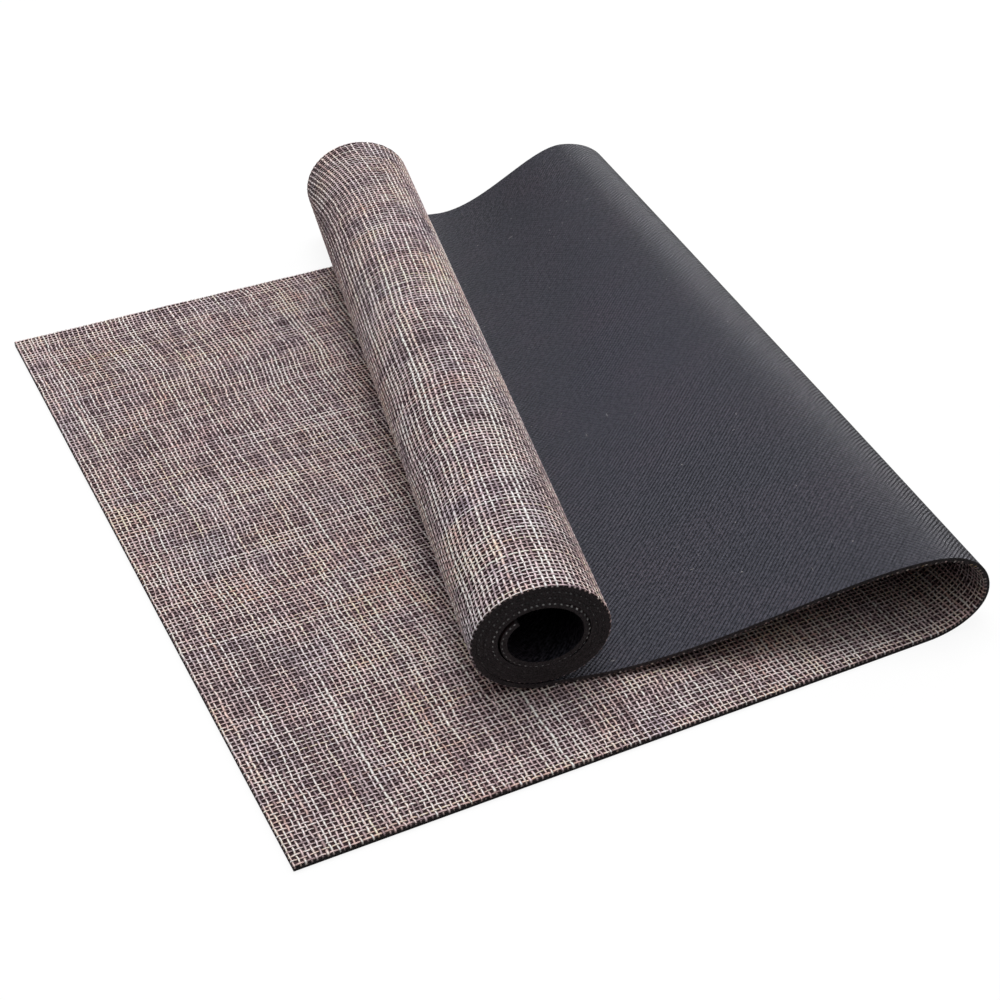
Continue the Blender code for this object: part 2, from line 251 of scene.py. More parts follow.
def side_view(share):
    """The fold's side view at a share of the width: its points and directions, length and landing."""
    height, bulge, crest, landing = FRONT_PROFILE + (BACK_PROFILE - FRONT_PROFILE) * share
    middle = height * OUTERMOST_HEIGHT_SHARE
    lower, upper = middle * OUTERMOST_HANDLE_SHARE, (height - middle) * OUTERMOST_HANDLE_SHARE
    outermost, top = (bulge, middle), (crest, height)
    before_top = (crest + (bulge - crest) * CREST_HANDLE_SHARE, height)
    past_top = (crest - (crest - landing) * CREST_BACK_HANDLE_SHARE, height)
    before_landing = (landing + (crest - landing) * LANDING_HANDLE_SHARE, LANDED_HEIGHT)
    curves = (
        ((0, 0), (bulge * LIFT_HANDLE_SHARE, 0), (bulge, middle - lower), outermost),
        (outermost, (bulge, middle + upper), before_top, top),
        (top, past_top, before_landing, (landing, LANDED_HEIGHT)),
    )
    t = np.linspace(0, 1, VIEW_POINTS)[1:]
    path = np.concatenate([np.zeros((1, 2))] + [bezier(c, t) for c in curves])
    run = np.concatenate([[0], np.cumsum(np.hypot(*np.diff(path, axis=0).T))])
    even = np.linspace(0, run[-1], VIEW_POINTS)
    x, z = np.interp(even, run, path[:, 0]), np.interp(even, run, path[:, 1])
    dx, dz = np.gradient(x), np.gradient(z)
    dx[0], dz[0], dx[-1], dz[-1] = 1, 0, -1, 0
    size = np.hypot(dx, dz)
    return np.stack([x, z, dx / size, dz / size]), run[-1], path[-1, 0]


# Side views at even shares of the width, and past both edges because the fold lies skew
SHARES = np.linspace(*VIEW_SPAN, VIEW_COUNT)
side_views = [side_view(share) for share in SHARES]
VIEWS = np.array([view for view, _, _ in side_views])
LENGTHS = np.array([length for _, length, _ in side_views])
LIFTS = np.array([CREASE_DISTANCE - (length + landing) / 2 for _, length, landing in side_views])


def lift_at(share):
    return np.interp(share, SHARES, LIFTS)


def landing_at(share):
    return np.interp(share, SHARES, LIFTS + LENGTHS)


def settled(line, width):
    """How far across the fold a line lies where it crosses the sheet at a width, by repetition."""
    share = width / MAT_WIDTH
    for _ in range(SETTLING_ROUNDS):
        across = line(share)
        share = (across * math.tan(FOLD_SKEW) + width / math.cos(FOLD_SKEW)) / MAT_WIDTH
    return across


def length_at(across, width):
    return (across + width * math.sin(FOLD_SKEW)) / math.cos(FOLD_SKEW)


def edge_line(line, margin):
    """A straight line over the sheet, a margin past another: its length at any width."""
    front, back = (length_at(settled(line, w) + margin, w) for w in (0, MAT_WIDTH))
    return lambda width: front + (back - front) * np.asarray(width) / MAT_WIDTH


FOLD_START = edge_line(lift_at, -FLAT_MARGIN)
FOLD_END = edge_line(landing_at, FLAT_MARGIN)
landing_ends = [length_at(settled(landing_at, w) + LANDING_LENGTH, w) for w in (0, MAT_WIDTH)]
ROLL_START = float(max(landing_ends))


def roll_turns():
    """How many turns the rest of the sheet makes, with a pitch and a bore that are given."""
    inner = 2 * math.pi * (BORE_RADIUS + OVAL_SPREAD / 2)
    root = math.sqrt(inner**2 + 4 * math.pi * WRAP_PITCH * (MAT_LENGTH - ROLL_START))
    return (-inner + root) / (2 * math.pi * WRAP_PITCH)


TURNS = roll_turns()


def roll_radius(turn):
    loose = rises(turn, TURNS - LOOSE_END_TURNS, LOOSE_END_TURNS)
    return BORE_RADIUS + WRAP_PITCH * (TURNS - turn) - LOOSE_END_DROP * loose


# The spiral starts where it runs level with the landing, which is a little before its foot
outer_run = 2 * math.pi * (BORE_RADIUS + WRAP_PITCH * TURNS + OVAL_SPREAD)
FIRST_TURN = -WRAP_PITCH / (2 * math.pi) / outer_run
ROLL_CENTRE_HEIGHT = LANDED_HEIGHT + float(roll_radius(FIRST_TURN))
SPIRAL = np.linspace(FIRST_TURN, TURNS, SPIRAL_POINTS)


def wound_lengths():
    """How much of the sheet is wound up at each turn of the spiral."""
    radius, angle = roll_radius(SPIRAL), 2 * math.pi * SPIRAL
    path = np.stack([(radius + OVAL_SPREAD) * np.sin(angle), radius * np.cos(angle)])
    run = np.concatenate([[0], np.cumsum(np.hypot(*np.diff(path, axis=1)))])
    return run * (MAT_LENGTH - ROLL_START) / run[-1]


WOUND = wound_lengths()


def turn_at(length):
    return np.interp(np.asarray(length) - ROLL_START, WOUND, SPIRAL)


def place(length, width, depth):
    """Points of the sheet in the row frame."""
    s, w, d = (np.asarray(x, float) for x in np.broadcast_arrays(length, width, depth))
    across = s * math.cos(FOLD_SKEW) - w * math.sin(FOLD_SKEW)
    along = s * math.sin(FOLD_SKEW) + w * math.cos(FOLD_SKEW)
    row = np.clip((along / MAT_WIDTH - SHARES[0]) / (SHARES[1] - SHARES[0]), 0, len(SHARES) - 1.001)
    r = row.astype(int)
    k = row - r
    lift = LIFTS[r] * (1 - k) + LIFTS[r + 1] * k
    total = LENGTHS[r] * (1 - k) + LENGTHS[r + 1] * k
    column = np.clip((across - lift) / total, 0, 1) * (VIEWS.shape[2] - 1)
    c = np.minimum(column.astype(int), VIEWS.shape[2] - 2)
    q = column - c

    def mixed(channel):
        low = VIEWS[r, channel, c] * (1 - q) + VIEWS[r, channel, c + 1] * q
        high = VIEWS[r + 1, channel, c] * (1 - q) + VIEWS[r + 1, channel, c + 1] * q
        return low * (1 - k) + high * k

    x, z, tx, tz = (mixed(channel) for channel in range(4))
    size = np.hypot(tx, tz)
    tx, tz = tx / size, tz / size
    fold = (lift + x - d * tz)[..., None] * ACROSS_FOLD + along[..., None] * ALONG_FOLD
    fold = fold + (z + d * tx)[..., None] * UP
    flat = np.stack([s, w, d], -1)
    over = ACROSS_FOLD * 2 * CREASE_DISTANCE + w[..., None] * BACK_ACROSS_SHEET
    landed = over + s[..., None] * BACK_ALONG_SHEET + (LANDED_HEIGHT - d)[..., None] * UP
    turn = turn_at(s)
    radius = roll_radius(turn) + d
    way = ROLL_START + (radius + OVAL_SPREAD) * np.sin(2 * math.pi * turn)
    height = ROLL_CENTRE_HEIGHT - radius * np.cos(2 * math.pi * turn)
    rolled = over + way[..., None] * BACK_ALONG_SHEET + height[..., None] * UP
    out = np.where((across < lift)[..., None], flat, fold)
    out = np.where((across > lift + total)[..., None], landed, out)
    out = np.where((s > ROLL_START)[..., None], rolled, out)
    return out + MAT_CORNER


# Materials

# The sockets of a ramp's two spans, and the spans that most values of a noise lie in
SPAN_SOCKETS = ("From Min", "From Max", "To Min", "To Max")
MOST_NOISE, MIDDLE_NOISE, FULL_SPAN = (0.3, 0.7), (0.35, 0.65), (0.0, 1.0)


class Nodes:
    """A new material, and helpers that add and join its shader nodes."""

    def __init__(self, name):
        self.material = bpy.data.materials.new(name)
        self.material.use_nodes = True
        self.tree = self.material.node_tree
        self.tree.nodes.clear()
        self.out = self.tree.nodes.new("ShaderNodeOutputMaterial")
        self.shader = self.tree.nodes.new("ShaderNodeBsdfPrincipled")
        self.tree.links.new(self.shader.outputs[0], self.out.inputs["Surface"])

    def add(self, kind, inputs=None, **settings):
        node = self.tree.nodes.new("ShaderNode" + kind)
        for key, value in settings.items():
            setattr(node, key, value)
        for key, value in (inputs or {}).items():
            self.set(node, key, value)
        return node

    def set(self, node, key, value):
        if hasattr(value, "is_output") and value.is_output:
            self.tree.links.new(value, node.inputs[key])
        else:
            node.inputs[key].default_value = value

    def math(self, operation, a, b=0.0, clamp=False):
        return self.add("Math", {0: a, 1: b}, operation=operation, use_clamp=clamp).outputs[0]

    def ramp(self, value, span, to_span):
        """The value moved from one span onto another."""
        limits = dict(zip(SPAN_SOCKETS, span + to_span))
        return self.add("MapRange", {"Value": value, **limits}).outputs[0]

    def noise(self, at, scale, detail, roughness=0.5):
        inputs = {"Vector": at, "Scale": scale, "Detail": detail, "Roughness": roughness}
        return self.add("TexNoise", inputs).outputs[0]

    def mix(self, factor, a, b, blend="MIX"):
        node = self.add("Mix", data_type="RGBA", blend_type=blend)
        self.set(node, 0, factor)
        self.set(node, 6, a)
        self.set(node, 7, b)
        return node.outputs[2]

    def lit_by(self, colour, value):
        """A colour times a grey value."""
        grey = self.add("CombineColor", {0: value, 1: value, 2: value}).outputs[0]
        return self.mix(1.0, colour, grey, "MULTIPLY")

    def finish(self, colour, gloss, relief, strength, distance):
        """Gives the shader its colour, its gloss by the names of the sockets, and a relief."""
        self.set(self.shader, "Base Color", colour)
        for name, value in gloss.items():
            self.set(self.shader, name, value)
        bump = self.add("Bump", {"Height": relief, "Strength": strength, "Distance": distance})
        self.set(self.shader, "Normal", bump.outputs[0])
        return self.material


def linear(red, green, blue):
    """A colour given in the screen's values from 0 to 255."""
    parts = [c / 255 for c in (red, green, blue)]
    return tuple(p / 12.92 if p <= 0.04045 else ((p + 0.055) / 1.055) ** 2.4 for p in parts) + (1.0,)


def yarn_material():
    """Spun fibre: each yarn's tint, painted light and shade included, broken up by fine fibres and
    coarser specks.
    """
    n = Nodes("woven_yarn")
    tint = n.add("Attribute", attribute_name="tint", attribute_type="GEOMETRY").outputs["Color"]
    at = n.add("TexCoord").outputs["Object"]
    fibres = n.noise(at, scale=900.0, detail=3.0, roughness=0.7)
    specks = n.noise(at, scale=260.0, detail=2.0)
    fibre_light = n.ramp(fibres, MOST_NOISE, (0.80, 1.18))
    speck_light = n.ramp(specks, MOST_NOISE, (0.88, 1.12))
    colour = n.lit_by(tint, n.math("MULTIPLY", fibre_light, speck_light))
    gloss = {"Roughness": 0.85, "Specular IOR Level": 0.25, "Sheen Weight": 0.03, "Sheen Roughness": 0.5}
    return n.finish(colour, gloss, fibres, strength=0.5, distance=0.0002)


def coat_material():
    """The dull black ground between the yarns, a little cloudy."""
    n = Nodes("bonding_coat")
    at = n.add("TexCoord").outputs["Object"]
    cloud = n.noise(at, scale=300.0, detail=3.0)
    colour = n.mix(n.ramp(cloud, MIDDLE_NOISE, FULL_SPAN), linear(42, 28, 30), linear(68, 49, 52))
    gloss = {"Roughness": 0.85, "Specular IOR Level": 0.15}
    return n.finish(colour, gloss, cloud, strength=0.4, distance=0.0003)


def cloth_print(n, at):
    """Two sets of fine slanting ribs, as a cloth leaves them in rubber."""
    split = n.add("SeparateXYZ", {0: at})
    along = n.math("DIVIDE", split.outputs[0], RIB_LENGTH)
    across = n.math("DIVIDE", split.outputs[1], RIB_WIDTH)
    wander = n.noise(at, scale=45.0, detail=2.0)
    wander = n.math("MULTIPLY", n.math("SUBTRACT", wander, 0.5), RIB_WANDER)
    steep = n.math("ADD", n.math("ADD", along, across), wander)
    shallow = n.math("SUBTRACT", n.math("SUBTRACT", along, across), wander)

    def ribs(phase, strength):
        wave = n.math("COSINE", n.math("MULTIPLY", phase, 2 * math.pi))
        return n.math("MULTIPLY", wave, strength)

    return n.math("ADD", ribs(steep, STEEP_RIBS), ribs(shallow, SHALLOW_RIBS))


def with_lint(n, at, colour):
    """The colour with a few pale specks and hairs on it, each in a cell of its own."""
    for stretch, empty_share, growth in LINT:
        cell = n.add("VectorMath", {0: at, 1: stretch}, operation="MULTIPLY").outputs[0]
        spots = n.add("TexVoronoi", {"Vector": cell, "Scale": 1.0}, voronoi_dimensions="2D")
        chosen = n.add("SeparateColor", {0: spots.outputs["Color"]})
        reach = n.math("MULTIPLY", n.math("SUBTRACT", chosen.outputs[0], empty_share), growth)
        lint = n.math("LESS_THAN", spots.outputs["Distance"], reach)
        colour = n.mix(n.math("MULTIPLY", lint, chosen.outputs[1]), colour, linear(150, 146, 144))
    return colour


def foam_material():
    """Black foam rubber whose underside carries the print of a cloth."""
    n = Nodes("foam_rubber")
    at = n.add("UVMap", uv_map="mat").outputs[0]
    pattern = cloth_print(n, at)
    cells = n.noise(at, scale=1400.0, detail=2.0, roughness=0.6)
    grain = n.noise(at, scale=360.0, detail=3.0, roughness=0.6)
    clouds = n.noise(at, scale=16.0, detail=3.0, roughness=0.55)
    rough = n.math("ADD", n.ramp(cells, MOST_NOISE, CELL_SHADE), n.ramp(grain, MOST_NOISE, GRAIN_SHADE))
    shade = n.math("ADD", n.ramp(pattern, RIB_SPAN, RIB_SHADE), rough, clamp=True)
    tone = n.mix(shade, linear(10, 9, 12), linear(48, 47, 52))
    tone = n.lit_by(tone, n.ramp(clouds, MIDDLE_NOISE, (0.92, 1.08)))
    hue = n.mix(n.ramp(clouds, (0.42, 0.68), FULL_SPAN), WHITE, REDDISH)
    colour = with_lint(n, at, n.mix(1.0, tone, hue, "MULTIPLY"))
    ribs = n.math("MULTIPLY", pattern, PRINT_HEIGHT)
    relief = n.math("ADD", ribs, n.math("MULTIPLY", n.math("ADD", cells, grain), GRAIN_HEIGHT))
    gloss = {"Roughness": 0.36, "Specular IOR Level": 0.34, "Specular Tint": (0.72, 0.75, 1.0, 1.0)}
    return n.finish(colour, gloss, relief, strength=0.9, distance=0.00035)


def cut_material():
    """The foam's cut edges: matt and blacker than its skin, with open cells."""
    n = Nodes("foam_cut_edge")
    at = n.add("TexCoord").outputs["Object"]
    cells = n.noise(at, scale=1100.0, detail=3.0, roughness=0.65)
    colour = n.mix(n.ramp(cells, (0.35, 0.7), FULL_SPAN), linear(46, 42, 43), linear(88, 83, 85))
    gloss = {"Roughness": 0.9, "Specular IOR Level": 0.15}
    return n.finish(colour, gloss, cells, strength=0.7, distance=0.0003)


YARN, COAT, FOAM, CUT = yarn_material(), coat_material(), foam_material(), cut_material()


# The foam and the coat


def mesh_object(name, points, quads, material, uvs, uv_name="mat", tint=None):
    mesh = bpy.data.meshes.new(name)
    mesh.vertices.add(len(points))
    mesh.vertices.foreach_set("co", np.asarray(points, np.float32).ravel())
    mesh.loops.add(quads.size)
    mesh.loops.foreach_set("vertex_index", quads.astype(np.int32).ravel())
    mesh.polygons.add(len(quads))
    mesh.polygons.foreach_set("loop_start", np.arange(0, quads.size, 4, dtype=np.int32))
    mesh.update(calc_edges=True)
    layer = mesh.uv_layers.new(name=uv_name, do_init=False)
    layer.uv.foreach_set("vector", np.asarray(uvs, np.float32).ravel())
    if tint is not None:
        colour = mesh.attributes.new("tint", "FLOAT_COLOR", "POINT")
        rgba = np.concatenate([tint, np.ones((len(tint), 1))], 1)
        colour.data.foreach_set("color", rgba.astype(np.float32).ravel())
    mesh.materials.append(material)
    mesh.validate()
    mesh.polygons.foreach_set("use_smooth", np.ones(len(mesh.polygons), bool))
    obj = bpy.data.objects.new(name, mesh)
    bpy.context.scene.collection.objects.link(obj)
    return obj


def slab(name, lengths, widths, depths, material, edge_material):
    """A closed sheet over a grid of lengths and widths, with a layer of points at each depth."""
    rows, columns = lengths.shape
    layers = len(depths)
    points, flat = [], []
    for depth in depths:
        points.append(place(lengths, widths, depth).reshape(-1, 3))
        flat.append(np.stack([lengths, widths], -1).reshape(-1, 2))
    index = np.arange(rows * columns * layers).reshape(layers, rows, columns)

    def grid(block):
        corners = (block[:-1, :-1], block[1:, :-1], block[1:, 1:], block[:-1, 1:])
        return np.stack(corners, -1).reshape(-1, 4)

    quads = [
        grid(index[0])[:, ::-1],
        grid(index[-1]),
        grid(index[:, :, 0].T),
        grid(index[:, :, -1].T)[:, ::-1],
        grid(index[:, 0, :]),
        grid(index[:, -1, :])[:, ::-1],
    ]
    faces = len(quads[0]) + len(quads[1])
    quads = np.concatenate(quads)
    obj = mesh_object(name, np.concatenate(points), quads, material, np.concatenate(flat)[quads.ravel()])
    obj.data.materials.append(edge_material)
    obj.data.polygons.foreach_set("material_index", (np.arange(len(quads)) >= faces).astype(np.int32))
    obj.data.set_sharp_from_angle(angle=SHARP_ANGLE)
    return obj


def zone_grid(zone):
    """Lengths and widths over one stretch of the sheet."""
    widths = np.linspace(0, MAT_WIDTH, COLUMNS[zone])
    if zone == "floor":
        shares = np.linspace(0, 1, FLOOR_ROWS)[:, None]
        lengths = shares * (FOLD_START(widths) - BUTT_GAP)
    elif zone == "fold":
        start, end = FOLD_START(widths) + BUTT_GAP, FOLD_END(widths) - BUTT_GAP
        lengths = start + (end - start) * np.linspace(0, 1, FOLD_ROWS)[:, None]
    else:
        start = FOLD_END(widths) + BUTT_GAP
        flat = start + (ROLL_START - start) * np.linspace(0, 1, LANDING_ROWS)[:-1, None]
        turns = np.linspace(FIRST_TURN, TURNS, int(TURNS * ROWS_PER_TURN))
        wound = np.interp(turns, SPIRAL, WOUND) + ROLL_START
        lengths = np.concatenate([flat, np.repeat(wound[:, None], COLUMNS[zone], 1)])
    return lengths, np.repeat(widths[None], len(lengths), 0)


def coat_top(zone, lengths):
    """The coat's upper depth. In the roll it fills out, so that the wraps look closely packed."""
    if zone != "roll":
        return COAT_TOP
    turns = turn_at(lengths)
    open_gap = rises(turns, *OPEN_GAP_BEGINS) * falls(turns, *OPEN_GAP_ENDS)
    return COAT_TOP + COAT_FILLING * (rises(turns, *FILLING_BEGINS) * (1 - open_gap))


foams, coats = {}, {}
for zone in ZONES:
    lengths, widths = zone_grid(zone)
    foams[zone] = slab(f"foam_{zone}", lengths, widths, FOAM_DEPTHS, FOAM, CUT)
    coats[zone] = slab(f"coat_{zone}", lengths, widths, (COAT_BOTTOM, coat_top(zone, lengths)), COAT, CUT)


# Where the yarns cross, and their light


def soft_field(row_step, column_step):
    """Smooth random values at the crossings, with one free value every so many rows and columns."""
    knots = rng.normal(size=(CROSS_COUNT // row_step + 4, LONG_COUNT // column_step + 4))
    x, y = np.arange(CROSS_COUNT) / row_step, np.arange(LONG_COUNT) / column_step
    xi, yi = x.astype(int), y.astype(int)
    xf, yf = ease(x - xi)[:, None], ease(y - yi)[None]
    low = knots[xi][:, yi] * (1 - yf) + knots[xi][:, yi + 1] * yf
    high = knots[xi + 1][:, yi] * (1 - yf) + knots[xi + 1][:, yi + 1] * yf
    return low * (1 - xf) + high * xf


def along_noise(count, length, step):
    """Smooth random values along each yarn, with one free value every so many crossings."""
    knots = rng.normal(size=(count, length // step + 4))
    x = np.arange(length) / step + rng.random((count, 1)) * 0.999
    xi = x.astype(int)
    f = ease(x - xi)
    row = np.arange(count)[:, None]
    return knots[row, xi] * (1 - f) + knots[row, xi + 1] * f


CROSS_PITCH = (MAT_LENGTH - 2 * EDGE_INSET) / (CROSS_COUNT - 1)
LONG_PITCH = (MAT_WIDTH - 2 * EDGE_INSET) / (LONG_COUNT - 1)
SHAPE = (CROSS_COUNT, LONG_COUNT)
even_length = EDGE_INSET + np.arange(CROSS_COUNT)[:, None] * CROSS_PITCH
even_width = EDGE_INSET + np.arange(LONG_COUNT)[None] * LONG_PITCH
past_start = even_length - ROLL_START
on_floor = falls(even_length, *FLOOR_ENDS)
on_roll = rises(past_start, *ROLL_BEGINS)


def crossings():
    """Lengths and widths of the crossings, drawn out of their even grid as in a hand-made cloth."""
    near_end = rises(np.minimum(even_length, MAT_LENGTH - even_length), *NEAR_END)
    near_side = rises(np.minimum(even_width, MAT_WIDTH - even_width), *NEAR_SIDE)
    sway = CROSS_SWAY + on_floor * CROSS_SWAY_ON_FLOOR * ease(even_width / MAT_WIDTH) ** SWAY_GROWTH
    drawn = soft_field(*SWAY_STEPS) + soft_field(*SIDE_SWAY_STEPS) * SIDE_SWAY_SHARE
    lengths = even_length + near_end * sway * drawn
    lengths = lengths + near_end * soft_field(*RIPPLE_STEPS) * (RIPPLE + RIPPLE_ON_FLOOR * on_floor)
    shake = SHAKE_ON_ROLL + (1 - SHAKE_ON_ROLL) * on_floor
    waver = along_noise(CROSS_COUNT, LONG_COUNT, CROSS_WAVER_STEP) * CROSS_WAVER
    lengths = lengths + (waver + rng.normal(size=SHAPE) * CROSS_SHAKE) * shake
    widths = even_width + near_side * soft_field(*LONG_SWAY_STEPS) * LONG_SWAY
    widths = widths + along_noise(LONG_COUNT, CROSS_COUNT, LONG_WAVER_STEP).T * LONG_WAVER
    widths = widths + rng.normal(size=SHAPE) * LONG_SHAKE
    skewed = rises(past_start, *SKEW_BEGINS) * falls(past_start, *SKEW_ENDS)
    lengths = lengths - skewed * SKEW_REACH * np.clip((even_width - SKEW_START) / SKEW_WIDTH, 0, 1) ** 2
    lengths = np.clip(lengths, LEAST_INSET, MAT_LENGTH - LEAST_INSET)
    return lengths, np.clip(widths, LEAST_INSET, MAT_WIDTH - LEAST_INSET)


cross_lengths, cross_widths = crossings()

patches = soft_field(*LARGE_PATCH_STEPS) * LARGE_PATCHES
patches = patches + soft_field(*SMALL_PATCH_STEPS) * SMALL_PATCHES
in_front = falls(even_width, *FRONT_PATCHES_END)
patches = patches * (1 + PATCHES_ON_ROLL * on_roll + PATCHES_IN_FRONT * in_front)
warmth = soft_field(*WARM_STEPS) * WARMTH + patches * WARMTH_OF_PATCHES
redness, blueness = soft_field(*RED_STEPS), soft_field(*BLUE_STEPS)
hue = np.stack([redness, redness, blueness], -1)


def slub(length, middle, half, fade):
    """1 over a stretch of a yarn, fading out at both ends."""
    reach = np.abs(np.arange(length) - middle) / half
    return ease((SLUB_REACH - reach) / fade)


def yarn_tints(spin, own_patches, own_warmth, own_hue):
    """At each crossing of each yarn: its colour, and where it has a bright and a thick slub."""
    tones, spread, slub_rate, longest, thick_share = spin
    count, length = own_patches.shape
    dull, plain, bright = (np.array(linear(*tone)[:3]) for tone in tones)
    tone = rng.normal(size=(count, 1)) * YARN_TONE
    tone = tone + along_noise(count, length, SLOW_TONE_STEP) * SLOW_TONE + own_patches * PATCH_TONE
    tone = tone + along_noise(count, length, QUICK_TONE_STEP) * QUICK_TONE
    tone = tone + rng.normal(size=(count, length)) * CROSSING_TONE
    level = np.clip(0.5 + tone * spread, 0, 1)[..., None]
    darker, lighter = dull + (plain - dull) * level * 2, plain + (bright - plain) * (level * 2 - 1)
    colour = np.where(level < 0.5, darker, lighter)
    light = np.zeros((count, length))
    for row in range(count):
        for _ in range(rng.poisson(slub_rate * length)):
            middle, half = rng.integers(0, length), rng.integers(SHORTEST_SLUB, longest)
            strength = rng.uniform(*SLUB_LIGHT)
            light[row] = np.maximum(light[row], strength * slub(length, middle, half, SLUB_FADE))
    thick = np.zeros((count, length))
    for row in np.flatnonzero(rng.random(count) < thick_share):
        middle, half = rng.integers(0, length), rng.integers(*THICK_SLUB)
        thick[row] = slub(length, middle, half, THICK_FADE)
    light = np.maximum(light, thick)
    colour = colour + (bright - colour) * light[..., None]
    amber = rng.normal(size=(count, 1)) * YARN_AMBER + own_warmth * PATCH_AMBER
    amber = amber + along_noise(count, length, AMBER_STEP) * SLOW_AMBER + tone * TONE_AMBER
    amber = np.clip(amber, 0, WARMEST)[..., None]
    shift = 1 + amber * WARM_SHIFT + own_warmth[..., None] * SLOW_SHIFT + own_hue * HUE_SHIFT
    return np.clip(colour * shift, DARKEST_TINT, LIGHTEST_TINT), light, thick


def painted_roll_light():
    """Painted light on the roll's cloth, most in front, and painted shade on its left, right and back."""
    front = PAINTED_FRONT_LIGHT * falls(even_width, *PAINTED_FRONT_LIGHT_ENDS)
    front = front * (1 - PAINTED_LIGHT_LOSS * rises(past_start, *PAINTED_LIGHT_ENDS))
    left = PAINTED_LEFT_SHADE * falls(past_start, *PAINTED_LEFT_SHADE_ENDS)
    back = PAINTED_BACK_SHADE * rises(even_width, *PAINTED_BACK_SHADE_BEGINS)
    right = PAINTED_RIGHT_SHADE * rises(past_start, *PAINTED_RIGHT_SHADE_BEGINS)
    return on_roll * (PAINTED_ROLL_LIGHT + front - (left + back) - right)


def half_widths(size, light, thick):
    """Half the width of each yarn at each crossing, uneven as a spun yarn is."""
    count, length = light.shape
    swell = rng.normal(size=(count, 1)) * YARN_SWELL
    swell = swell + along_noise(count, length, SWELL_STEP) * SLOW_SWELL
    return size * np.exp(swell - light * SLUB_THINNING + thick * THICK_SWELL)


cross_tints, cross_light, cross_thick = yarn_tints(CROSS_SPIN, patches, warmth, hue)
long_tints, long_light, long_thick = yarn_tints(LONG_SPIN, patches.T, warmth.T, hue.transpose(1, 0, 2))
# Painted light and shade on the roll's cloth
glow = painted_roll_light()
# Painted shade on the lengthwise yarns off the roll, darker towards the back side edge
painted_floor_darkening = PAINTED_FLOOR_SHADE * rises(even_width.T, *PAINTED_FLOOR_SHADE_BEGINS) * (1 - on_roll.T)
cross_tints = cross_tints * (1 + glow[..., None] * PAINTED_LIGHT_COLOUR)
long_tints = long_tints * (1 + glow.T[..., None] * PAINTED_LIGHT_COLOUR)
long_tints = long_tints * (1 - painted_floor_darkening)[..., None]
cross_half = half_widths(CROSS_HALF_WIDTH, cross_light, cross_thick)
long_half = half_widths(LONG_HALF_WIDTH, long_light, long_thick)


# The yarns

# The columns of a yarn's track: its place on the sheet, its half width and its colour
LENGTH, WIDTH, DEPTH, HALF, TINT = 0, 1, 2, 3, slice(4, 7)

# Where a yarn's four sides lie across its own strip of the map that its colour is baked to
STRIP = np.array((0.1, 0.5, 0.9, 0.5))


def with_middles(values):
    """The values with the mean of each pair put between them."""
    out = np.empty((len(values) * 2 - 1,) + values.shape[1:])
    out[0::2] = values
    out[1::2] = (values[:-1] + values[1:]) / 2
    return out


def yarn_track(lengths, widths, over, half, tints, along_width, first, last):
    """Rows of length, width, depth, half width and colour along one yarn, from edge to edge."""
    wave = CROSS_WAVE if along_width else LONG_WAVE
    depth = FACE_DEPTH + np.where(over, wave, -wave)
    track = with_middles(np.column_stack([lengths, widths, depth, half, tints]))
    over_shade, under_shade, middle_shade = CROSS_SHADES if along_width else LONG_SHADES
    # Painted light where the yarn rides over another, painted shade where it dives under and between
    track[0::2, TINT] *= np.where(over, over_shade, under_shade)[:, None]
    track[1::2, TINT] *= middle_shade
    column, size = (WIDTH, MAT_WIDTH) if along_width else (LENGTH, MAT_LENGTH)
    starts, stops = track[:1].copy(), track[-1:].copy()
    starts[:, DEPTH], stops[:, DEPTH] = FACE_DEPTH, FACE_DEPTH
    starts[:, column], stops[:, column] = first, last
    if first < 0:
        starts = np.repeat(starts, 2, 0)
        starts[1, column] = END_INSET
        starts[0, DEPTH] -= END_DROOP
    if last > size:
        stops = np.repeat(stops, 2, 0)
        stops[0, column] = size - END_INSET
        stops[1, DEPTH] -= END_DROOP
    return np.concatenate([starts, track, stops])


def cut_at_lines(track):
    """The track cut where it crosses into another stretch of the sheet, as (zone, rows)."""
    for line in (FOLD_START, FOLD_END):
        side = track[:, LENGTH] - line(track[:, WIDTH])
        at = np.flatnonzero(side[:-1] * side[1:] < 0)
        share = (side[at] / (side[at] - side[at + 1]))[:, None]
        track = np.insert(track, at + 1, track[at] + (track[at + 1] - track[at]) * share, axis=0)
    middle = (track[:-1] + track[1:]) / 2
    past_lift = middle[:, LENGTH] > FOLD_START(middle[:, WIDTH])
    zone = past_lift.astype(int) + (middle[:, LENGTH] > FOLD_END(middle[:, WIDTH]))
    cuts = np.concatenate([[0], np.flatnonzero(np.diff(zone)) + 1, [len(zone)]])
    return [(ZONES[zone[a]], track[a : b + 1]) for a, b in zip(cuts[:-1], cuts[1:]) if b > a]


